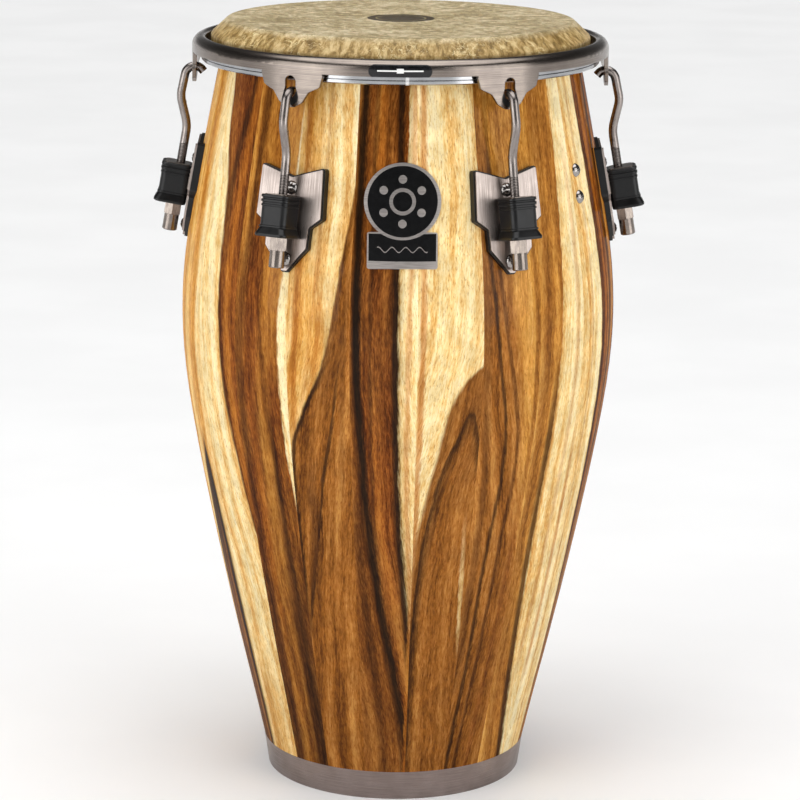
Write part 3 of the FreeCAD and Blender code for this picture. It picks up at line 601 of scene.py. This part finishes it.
def rawhide():
    """Scraped buffalo hide, tucked wet and dried: waxy, olive and mottled on top, golden fibres and upright
    creases on the collar."""
    material, tree, surface = start_material("scraped_rawhide", Subsurface_Weight=0.12,
                                             Subsurface_Radius=(0.004, 0.002, 0.001),
                                             Subsurface_Scale=0.6, Specular_IOR_Level=0.15,
                                             Coat_Weight=0.08, Coat_Roughness=0.28)
    place = add(tree, "TexCoord").outputs["Object"]
    split = add(tree, "SeparateXYZ", {0: place})
    radius = from_axis(tree, place)
    clouds = noise(tree, place, 45.0, Detail=5.0, Roughness=0.6)
    blotch = noise(tree, place, 9.0, Detail=4.0, Roughness=0.65, Distortion=0.6)
    specks = noise(tree, place, 1.5, Detail=2.0)
    mottle = calc(tree, "MULTIPLY", blotch, 1.1)
    mottle = calc(tree, "MULTIPLY_ADD", clouds, 0.55, mottle)
    mottle = calc(tree, "MULTIPLY_ADD", specks, 0.4, mottle)
    top = ramp(tree, ease(tree, mottle, 0.78, 1.28),
               [(0.0, "#8c7a54"), (0.35, "#ac9a72"), (0.65, "#c2b089"), (1.0, "#dccdab")])

    # the collar's creases stand upright; their hollows are darker, painted shade over the hide's own tone
    angle = calc(tree, "ARCTAN2", split.outputs["X"], split.outputs["Y"])
    spot = add(tree, "CombineXYZ", {"X": angle, "Y": split.outputs["Z"], "Z": radius})
    upright = add(tree, "VectorMath", {0: spot, 1: (CREASE_RADIUS / CREASE_WIDE, 1 / CREASE_TALL,
                                                    1 / CREASE_TALL)}, operation="MULTIPLY")
    creases = add(tree, "TexNoise", {"Vector": upright, "Scale": 1.0, "Detail": 5.0, "Roughness": 0.7,
                                     "Distortion": 0.4})
    collar = ramp(tree, ease(tree, creases, 0.34, 0.66),
                  [(0.0, "#735a30"), (0.4, "#9c804c"), (0.7, "#b69a66"), (1.0, "#cfb786")])
    # pale dried fibres lie tangled over them, in some places only: level lines of a noise
    tangle = noise(tree, place, 11.0, Detail=3.0, Roughness=0.6, Distortion=1.2)
    from_line = calc(tree, "ABSOLUTE", calc(tree, "SUBTRACT", tangle, 0.5))
    thread = calc(tree, "MULTIPLY", ease(tree, from_line, 0.006, 0.026, 0.75, 0.0),
                  ease(tree, clouds, 0.42, 0.6))
    collar = mix(tree, thread, collar, paint("#ead9a8"))
    below = ease(tree, radius, COLLAR_BEGINS, COLLAR_FULL)
    colour = mix(tree, below, top, collar)

    # a worn round stamp in the middle of the head, with a paler ring in it
    worn = calc(tree, "MULTIPLY_ADD", blotch, 3.0 * MM, radius)
    stamp = ease(tree, worn, STAMP_RADIUS - STAMP_EDGE, STAMP_RADIUS + STAMP_EDGE, 0.92, 0.0)
    colour = mix(tree, stamp, colour, paint("#33291d"))
    ring = ease(tree, calc(tree, "COMPARE", radius, STAMP_RING, STAMP_LINE), 0.0, 1.0, 0.0, 0.5)
    colour = mix(tree, ring, colour, paint("#a8976a"))

    follicles = calc(tree, "MULTIPLY_ADD", specks, 0.3, mottle)
    heights = mix(tree, below, follicles, calc(tree, "MULTIPLY", creases, 0.8))
    bump = add(tree, "Bump", {"Height": heights, "Strength": 0.55, "Distance": 0.35 * MM})
    rough = ease(tree, blotch, 0.3, 0.7, 0.42, 0.58)
    connect(tree, surface, Base_Color=colour, Normal=bump, Roughness=rough)
    return material


def make_head():
    """The skin, drawn down over the bearing edge by the rim."""
    section = head_section()
    vertices, faces = [], []
    for point in section[1:-1]:
        for i in range(HEAD_SEGMENTS):
            turn = math.tau * i / HEAD_SEGMENTS
            vertices.append((point.x * math.sin(turn), -point.x * math.cos(turn), point.y))
    rings = len(section) - 2
    for ring in range(rings - 1):
        for i in range(HEAD_SEGMENTS):
            j = (i + 1) % HEAD_SEGMENTS
            low, high = ring * HEAD_SEGMENTS, (ring + 1) * HEAD_SEGMENTS
            faces.append((low + i, high + i, high + j, low + j))
    vertices += [(0.0, 0.0, section[0].y), (0.0, 0.0, section[-1].y)]
    last = (rings - 1) * HEAD_SEGMENTS
    for i in range(HEAD_SEGMENTS):
        j = (i + 1) % HEAD_SEGMENTS
        faces.append((len(vertices) - 2, i, j))
        faces.append((len(vertices) - 1, last + j, last + i))
    head = piece_from("rawhide_head", vertices, faces, rawhide())
    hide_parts("skin_head")
    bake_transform(head)


# ---- metals ----
ARC_RADIUS = 190.0 * MM      # where a metre of arc round the drum is a real metre
THREAD_PITCH = 1.25 * MM
THREAD_SHOWN = 12.0 * MM     # thread above each sleeve
WELD_PLACE, WELD_HALF = 6.5 * MM, 1.6 * MM


def eased_edges(tree, round_mm, bump):
    """Normals with every edge rounded over, so that it catches the light."""
    return add(tree, "Bevel", {"Radius": round_mm * MM, "Normal": bump}, samples=6)


def round_the_drum(tree, place):
    """Sockets of place round the drum in metres of arc, height, and radius."""
    split = add(tree, "SeparateXYZ", {0: place})
    arc = calc(tree, "MULTIPLY", azimuth(tree, split), ARC_RADIUS)
    return arc, split.outputs["Z"], from_axis(tree, place)


def brushed(tree, arc, height, wide, tall):
    """Brush marks: wide and tall are one mark's size in mm, sideways and up."""
    spot = add(tree, "CombineXYZ", {"X": arc, "Y": height})
    scaled = add(tree, "VectorMath", {0: spot, 1: (1 / (wide * MM), 1 / (tall * MM), 1.0)},
                 operation="MULTIPLY")
    return add(tree, "TexNoise", {"Vector": scaled, "Scale": 1.0, "Detail": 4.0, "Roughness": 0.65})


def worked_metal(name, dark, light, marks, rough, edge=0.4, depth=0.02, **shader):
    """Metal whose marks (wide, tall in mm) streak its colour, gloss and surface. Its edges are rounded by
    edge and its marks are depth deep, both in mm. Gives what a finish needs to draw more on it."""
    material, tree, surface = start_material(name, Metallic=1.0, **shader)
    place = add(tree, "TexCoord").outputs["Object"]
    arc, height, radius = round_the_drum(tree, place)
    lines = brushed(tree, arc, height, *marks)
    both = calc(tree, "MULTIPLY_ADD", noise(tree, place, 20.0, Detail=3.0), 0.5, lines)
    colour = ramp(tree, ease(tree, both, 0.5, 1.0), [(0.0, dark), (1.0, light)])
    gloss = ease(tree, both, 0.5, 1.0, rough[1], rough[0])
    bump = add(tree, "Bump", {"Height": lines, "Strength": 0.2, "Distance": depth * MM})
    connect(tree, surface, Base_Color=colour, Roughness=gloss, Normal=eased_edges(tree, edge, bump))
    return material, tree, surface, colour, (arc, height, radius)


def metal(*look, **more):
    """Worked metal with nothing more drawn on it."""
    return worked_metal(*look, **more)[0]


def satin_nickel(name, marks, rough, edge):
    """Nickel plate over tumbled steel: warm grey, softly mirrored."""
    return metal(name, "#736a65", "#92887f", marks, rough, edge)


def threaded_rod():
    """Nickel-plated rod with a rolled thread below: smooth grey above, grooves at the sleeve in painted
    shade.
    """
    material, tree, surface, colour, (arc, height, radius) = worked_metal(
        "threaded_tuning_rod", "#7c7470", "#968e89", (1.2, 12.0), (0.2, 0.3), edge=0.3)
    joint = JOINTS["nut_turn_1"]
    down, start = Vector(joint["axis"]), Vector(joint["pos_m"])
    tilt = math.atan2(math.hypot(down.x, down.y), -down.z)
    # every rod is turned about the drum to one place, then about its own foot to stand upright
    angle = calc(tree, "MULTIPLY", arc, 1 / ARC_RADIUS)
    sector = calc(tree, "SNAP", angle, math.tau / LUGS)
    middle = calc(tree, "ADD", sector, math.pi / LUGS)
    turn = calc(tree, "SUBTRACT", angle, middle)
    reach = calc(tree, "MULTIPLY", radius, calc(tree, "COSINE", turn))
    sideways = calc(tree, "MULTIPLY", radius, calc(tree, "SINE", turn))
    flat = add(tree, "CombineXYZ", {"X": reach, "Y": sideways, "Z": height})
    moved = add(tree, "VectorMath", {0: flat, 1: (math.hypot(start.x, start.y), 0.0, start.z)},
                operation="SUBTRACT")
    upright = add(tree, "VectorRotate", {"Vector": moved, "Angle": -tilt}, rotation_type="Y_AXIS")
    own = add(tree, "SeparateXYZ", {0: upright})
    along = own.outputs["Z"]
    round_rod = calc(tree, "ARCTAN2", own.outputs["Y"], own.outputs["X"])
    climb = calc(tree, "MULTIPLY", along, 1 / THREAD_PITCH)
    helix = calc(tree, "MULTIPLY_ADD", round_rod, 1 / math.tau, climb)
    groove = calc(tree, "PINGPONG", helix, 0.5)
    thread_top = (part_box("sleeve_1")[1].z - start.z) / math.cos(tilt) + THREAD_SHOWN
    cut = calc(tree, "LESS_THAN", along, thread_top)
    # painted shade: the thread's grooves are darkened nearly to black
    deep = calc(tree, "MULTIPLY", ease(tree, groove, 0.1, 0.4, 1.0, 0.0), cut)
    whole = mix(tree, ease(tree, deep, 0.0, 1.0, 0.0, 0.85), colour, paint("#241f1d"))
    bump = add(tree, "Bump", {"Height": calc(tree, "MULTIPLY", groove, cut), "Strength": 0.6,
                              "Distance": 0.4 * MM})
    connect(tree, surface, Base_Color=whole, Normal=bump)
    return material


def hoop_zinc():
    """Bright zinc on a drawn and butt-welded steel hoop: clear reflections, one dull weld at the front."""
    material, tree, surface, colour, place = worked_metal(
        "bright_zinc_hoop", "#9a9b9d", "#bcbdbf", (30.0, 0.5), (0.12, 0.22), edge=0.3)
    weld = calc(tree, "COMPARE", place[0], WELD_PLACE, WELD_HALF)
    whole = mix(tree, weld, colour, paint("#f4f4f4"))
    dull = ease(tree, weld, 0.0, 1.0, 0.16, 0.42)
    connect(tree, surface, Base_Color=whole, Roughness=dull)
    return material


def lug_steel():
    """Stainless sheet brushed from top to bottom: fine upright lines and a soft glare."""
    return metal("brushed_stainless", "#8a7f79", "#b4a8a1", (0.6, 40.0), (0.26, 0.40), edge=0.35,
                 depth=0.015, Anisotropic=0.5)


def zinc_fittings():
    """Plain zinc plate on nuts and washers inside: cool grey with a faint crystalline bloom."""
    return metal("zinc_plated_steel", "#8f9494", "#b4b8b6", (3.0, 3.0), (0.32, 0.5), edge=0.25)


def bright_screws():
    """Nickel-plated screw heads: small clear highlights on a pale grey dome."""
    return metal("bright_nickel_screws", "#8d8885", "#aaa5a1", (1.0, 1.0), (0.12, 0.2), edge=0.3)


def foot_steel():
    """Steel band brushed round the foot: level lines and a long soft glare."""
    return metal("brushed_foot_band", "#81746f", "#9a8d88", (60.0, 0.5), (0.26, 0.38))


# ---- rubber and plastic ----
MOULDED_EDGE = 0.4           # mm


def moulded(name, dark, light, grit, rough):
    """Moulded black rubber or nylon: deep black with a soft sheen, and the mould's fine grain, grit mm
    wide."""
    material, tree, surface = start_material(name, Specular_IOR_Level=0.35)
    place = add(tree, "TexCoord").outputs["Object"]
    grain = noise(tree, place, grit, Detail=3.0)
    scuffs = noise(tree, place, 6.0, Detail=5.0, Roughness=0.7)
    colour = ramp(tree, ease(tree, scuffs, 0.35, 0.7), [(0.0, dark), (1.0, light)])
    gloss = ease(tree, scuffs, 0.3, 0.7, *rough)
    bump = add(tree, "Bump", {"Height": grain, "Strength": 0.5, "Distance": 0.03 * MM})
    connect(tree, surface, Base_Color=colour, Roughness=gloss,
            Normal=eased_edges(tree, MOULDED_EDGE, bump))
    return material


# ---- badge ----
BADGE_RIM = 3.1 * MM
BADGE_RING, RING_HALF = 10.0 * MM, 1.6 * MM
DOT_CIRCLE, DOT_RADIUS = 19.0 * MM, 3.6 * MM
ETCHED_EDGE = 0.1 * MM       # how soft an etched edge is, either side
ENAMEL_SPECULAR = 0.25
NAMEPLATE_EDGE = 1.4 * MM
NAMEPLATE_BAR = 7.0 * MM
WAVE_LONG, WAVE_TALL, WAVE_LIFT = 12.0 * MM, 2.2 * MM, 1.0 * MM
WAVE_REACH, WAVE_LINE = 22.0 * MM, 0.45 * MM
LABEL_BARS = ((20.0 * MM, 0.65 * MM), (3.0 * MM, 2.0 * MM))      # half of each bar's length and height


def plate_place(tree, node):
    """Sockets of sideways place and height on a front plate, from its middle, in metres."""
    low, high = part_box(node)
    middle = (low + high) / 2
    place = add(tree, "TexCoord").outputs["Object"]
    moved = add(tree, "VectorMath", {0: place, 1: (middle.x, 0.0, middle.z)}, operation="SUBTRACT")
    split = add(tree, "SeparateXYZ", {0: moved})
    return split.outputs["X"], split.outputs["Z"], (high - low) / 2, place


def enamelled(tree, surface, metal_mask, place):
    """Brushed metal where the mask is 1, black gloss enamel where it is 0."""
    lines = add(tree, "VectorMath", {0: place, 1: (1 / 0.012, 1 / 0.012, 1 / 0.0005)}, operation="MULTIPLY")
    brush = add(tree, "TexNoise", {"Vector": lines, "Scale": 1.0, "Detail": 4.0})
    steel = ramp(tree, ease(tree, brush, 0.3, 0.7), [(0.0, "#aca4a0"), (1.0, "#cdc6c1")])
    dust = noise(tree, place, 4.0, Detail=4.0)
    black = ramp(tree, ease(tree, dust, 0.3, 0.7), [(0.0, "#060607"), (1.0, "#0f0f10")])
    colour = mix(tree, metal_mask, black, steel)
    gloss = ease(tree, metal_mask, 0.0, 1.0, 0.22, 0.34)
    bump = add(tree, "Bump", {"Height": metal_mask, "Strength": 0.6, "Distance": 0.15 * MM})
    connect(tree, surface, Base_Color=colour, Roughness=gloss, Metallic=metal_mask, Normal=bump)


def badge_enamel():
    """Round badge, etched and filled with black enamel: a rim, a ring, and one dot for each lug."""
    material, tree, surface = start_material("enamelled_badge", Specular_IOR_Level=ENAMEL_SPECULAR)
    sideways, height, half, place = plate_place(tree, "badge")
    flat = add(tree, "CombineXYZ", {"X": sideways, "Y": height})
    radius = add(tree, "VectorMath", {0: flat}, operation="LENGTH").outputs["Value"]
    rim_at = half.x - BADGE_RIM
    rim = ease(tree, radius, rim_at - ETCHED_EDGE, rim_at + ETCHED_EDGE)
    mask = calc(tree, "MAXIMUM", rim, calc(tree, "COMPARE", radius, BADGE_RING, RING_HALF))
    for lug in range(LUGS):
        turn = math.tau * lug / LUGS
        spot = (DOT_CIRCLE * math.sin(turn), DOT_CIRCLE * math.cos(turn), 0.0)
        gap = add(tree, "VectorMath", {0: flat, 1: spot}, operation="DISTANCE").outputs["Value"]
        dot = ease(tree, gap, DOT_RADIUS - ETCHED_EDGE, DOT_RADIUS + ETCHED_EDGE, 1.0, 0.0)
        mask = calc(tree, "MAXIMUM", mask, dot)
    enamelled(tree, surface, mask, place)
    return material


def nameplate_enamel():
    """Plate under the badge: light border, black field with a plain wave, brushed bar below."""
    material, tree, surface = start_material("enamelled_nameplate", Specular_IOR_Level=ENAMEL_SPECULAR)
    sideways, height, half, place = plate_place(tree, "nameplate")
    inset = [calc(tree, "GREATER_THAN", calc(tree, "ABSOLUTE", socket), reach - NAMEPLATE_EDGE)
             for socket, reach in ((sideways, half.x), (height, half.z))]
    border = calc(tree, "MAXIMUM", *inset)
    bar = calc(tree, "LESS_THAN", height, NAMEPLATE_BAR - half.z)
    swing = calc(tree, "MULTIPLY", sideways, math.tau / WAVE_LONG)
    crest = calc(tree, "MULTIPLY_ADD", calc(tree, "SINE", swing), WAVE_TALL, WAVE_LIFT)
    line = calc(tree, "COMPARE", height, crest, WAVE_LINE)
    held = calc(tree, "LESS_THAN", calc(tree, "ABSOLUTE", sideways), WAVE_REACH)
    mask = calc(tree, "MAXIMUM", border, bar)
    mask = calc(tree, "MAXIMUM", mask, calc(tree, "MULTIPLY", line, held))
    enamelled(tree, surface, mask, place)
    return material


def label_film():
    """Printed gloss film, domed a little at its edge: black with a plain light bar."""
    material, tree, surface = start_material("printed_film", IOR=CLEAR_COAT_IOR)
    sideways, height, _, place = plate_place(tree, "rim_label")
    bars = [calc(tree, "MULTIPLY", calc(tree, "COMPARE", sideways, 0.0, long),
                 calc(tree, "COMPARE", height, 0.0, tall)) for long, tall in LABEL_BARS]
    dust = noise(tree, place, 3.0, Detail=3.0)
    black = ramp(tree, ease(tree, dust, 0.3, 0.7), [(0.0, "#0a0a0b"), (1.0, "#17171a")])
    colour = mix(tree, calc(tree, "MAXIMUM", *bars), black, paint("#e8e8e6"))
    gloss = ease(tree, dust, 0.3, 0.7, 0.16, 0.26)
    connect(tree, surface, Base_Color=colour, Roughness=gloss)
    return material


# ---- finishes of the CAD's own pieces ----
def finish_nodes():
    """Gives every carried-over node the finish of its slot."""
    finishes = {
        "foot_steel": foot_steel(),
        "hoop_steel": hoop_zinc(),
        "rim_steel": satin_nickel("satin_nickel_rim", (60.0, 0.5), (0.2, 0.26), 0.9),
        "label_film": label_film(),
        "seat_plastic": moulded("moulded_nylon", "#08080a", "#161617", 0.25, (0.36, 0.5)),
        "plate_steel": lug_steel(),
        "black_rubber": moulded("moulded_rubber", "#050506", "#0f0f10", 0.35, (0.28, 0.42)),
        "saddle_metal": satin_nickel("cast_saddle_nickel", (3.0, 3.0), (0.24, 0.36), 0.6),
        "rod_steel": threaded_rod(),
        "nut_steel": satin_nickel("satin_nickel_hardware", (1.2, 9.0), (0.18, 0.26), 0.3),
        "screw_steel": bright_screws(),
        "zinc_steel": zinc_fittings(),
    }
    own = {"badge": badge_enamel(), "nameplate": nameplate_enamel()}
    for name, node in NODES.items():
        material = own.get(name) or finishes.get(SLOTS[name])
        if material is None:
            continue
        for place in node.material_slots:
            place.link = "OBJECT"
            place.material = material


# ---- studio ----
CAMERA_PLACE = (0.0, -2.894, 1.038)
CAMERA_TILT = math.radians(13.33)
CAMERA_ROLL = 0.0105
LENS_MM, SENSOR_MM = 142.4, 36.0
CAMERA_SHIFT = 0.0039
FLOOR_HALF = 30.0
SKY = [(0.0, "#a0a0a0"), (0.06, "#9a9a9a"), (0.14, "#484848"), (0.5, "#202020"), (0.76, "#282828"),
       (0.86, "#ffffff")]    # from the horizon to overhead
SKY_STRENGTH = 2.6
LIGHTS_AIM = (0.0, 0.0, 0.42)
SOFTBOXES = {                # place, width, height and watts
    "left_softbox": ((-2.9, -2.4, 1.5), 3.0, 3.0, 65),
    "right_softbox": ((2.9, -2.3, 1.4), 2.8, 3.0, 56),
}


def make_camera():
    """A long lens in front of the drum, looking a little down on it."""
    data = bpy.data.cameras.new("camera")
    data.lens = LENS_MM
    data.sensor_width = SENSOR_MM
    data.shift_x = CAMERA_SHIFT
    camera = bpy.data.objects.new("camera", data)
    tilt = Matrix.Rotation(math.pi / 2 - CAMERA_TILT, 4, "X")
    roll = Matrix.Rotation(CAMERA_ROLL, 4, "Z")
    camera.matrix_world = Matrix.Translation(CAMERA_PLACE) @ tilt @ roll
    bpy.context.scene.collection.objects.link(camera)
    bpy.context.scene.camera = camera


def softbox(name, place, wide, tall, watts):
    """A rectangular studio light at place, facing the drum."""
    data = bpy.data.lights.new(name, "AREA")
    data.shape = "RECTANGLE"
    data.size = wide
    data.size_y = tall
    data.energy = watts
    light = bpy.data.objects.new(name, data)
    light.location = place
    light.rotation_euler = (Vector(LIGHTS_AIM) - Vector(place)).to_track_quat("-Z", "Y").to_euler()
    bpy.context.scene.collection.objects.link(light)


def make_studio():
    """Pale floor, grey horizon, dark walls that keep the metal's contrast, white overhead, and a softbox on
    each side."""
    floor_paint, tree, surface = start_material("matt_white_floor", Roughness=0.9)
    place = add(tree, "TexCoord").outputs["Object"]
    grain = add(tree, "TexNoise", {"Vector": place, "Scale": 3.0, "Detail": 3.0})
    colour = ramp(tree, ease(tree, grain, 0.3, 0.7), [(0.0, "#f4f4f4"), (1.0, "#f8f8f8")])
    connect(tree, surface, Base_Color=colour)
    corners = [(x * FLOOR_HALF, y * FLOOR_HALF, 0) for x, y in ((-1, -1), (1, -1), (1, 1), (-1, 1))]
    floor = piece_from("floor", corners, [(0, 1, 2, 3)], floor_paint)

    world = bpy.data.worlds.new("studio")
    bpy.context.scene.world = world
    world.use_nodes = True
    tree = world.node_tree
    tree.nodes.clear()
    split = add(tree, "SeparateXYZ", {0: add(tree, "TexCoord").outputs["Generated"]})
    sky = ramp(tree, split.outputs["Z"], SKY)
    glow = add(tree, "Background", {"Color": sky, "Strength": SKY_STRENGTH})
    add(tree, "OutputWorld", {"Surface": glow})

    for name, (place, wide, tall, watts) in SOFTBOXES.items():
        softbox(name, place, wide, tall, watts)
    bpy.context.scene.view_settings.view_transform = "Standard"


make_camera()
make_studio()
make_staves()
make_head()
finish_nodes()
